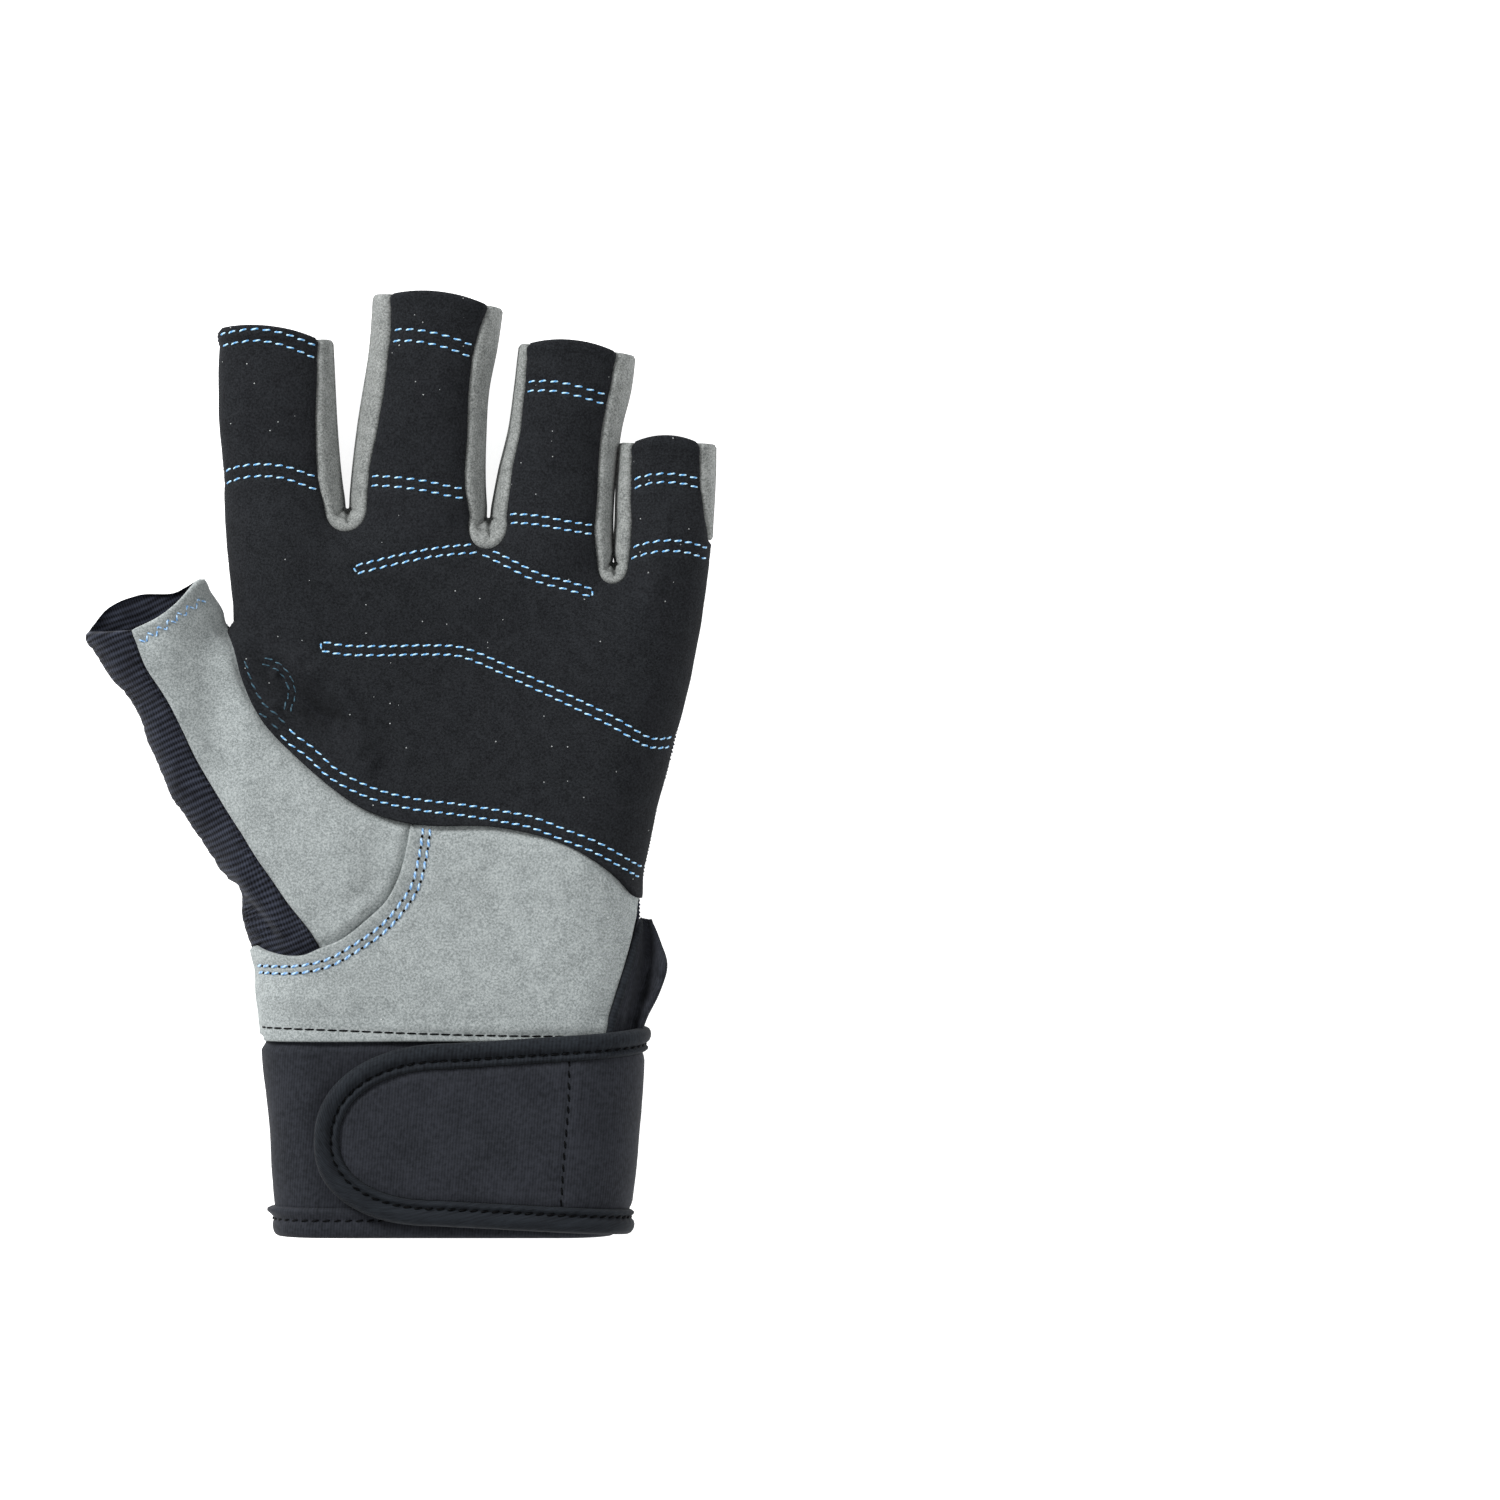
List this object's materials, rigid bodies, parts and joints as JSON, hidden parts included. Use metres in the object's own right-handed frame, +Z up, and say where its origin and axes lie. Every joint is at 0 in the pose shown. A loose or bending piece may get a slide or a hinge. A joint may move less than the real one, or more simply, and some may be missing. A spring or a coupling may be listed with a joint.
{
  "type": "sailing glove",
  "caption": "Left-hand sailing glove with open fingertips, a suede palm, a ribbed back, and a cuff closed by a rounded strap.",
  "frame": {"origin": "on the resting face, under the middle of the palm", "axes": "+X across the palm towards the little finger, +Y from the cuff to the fingertips, +Z up out of the palm"},
  "size_m": [0.1349, 0.1999, 0.0293],
  "materials": {
    "black_suede": "napped",
    "grey_suede": "napped",
    "black_knit": "ribbed knit",
    "black_neoprene": "jersey-faced"
  },
  "bodies": {
    "root": {"palm_panel": "black_suede", "heel_panel": "grey_suede", "thumb_front": "grey_suede", "thumb_back": "black_knit", "back_panel": "black_knit", "fourchette_index_middle": "grey_suede", "fourchette_middle_ring": "grey_suede", "fourchette_ring_little": "grey_suede", "little_side_strip": "grey_suede", "vent_gusset": "black_neoprene", "cuff": "black_neoprene", "cuff_hem": "black_neoprene", "strap_panel": "black_neoprene", "strap_binding": "black_neoprene"}
  },
  "joints": []
}
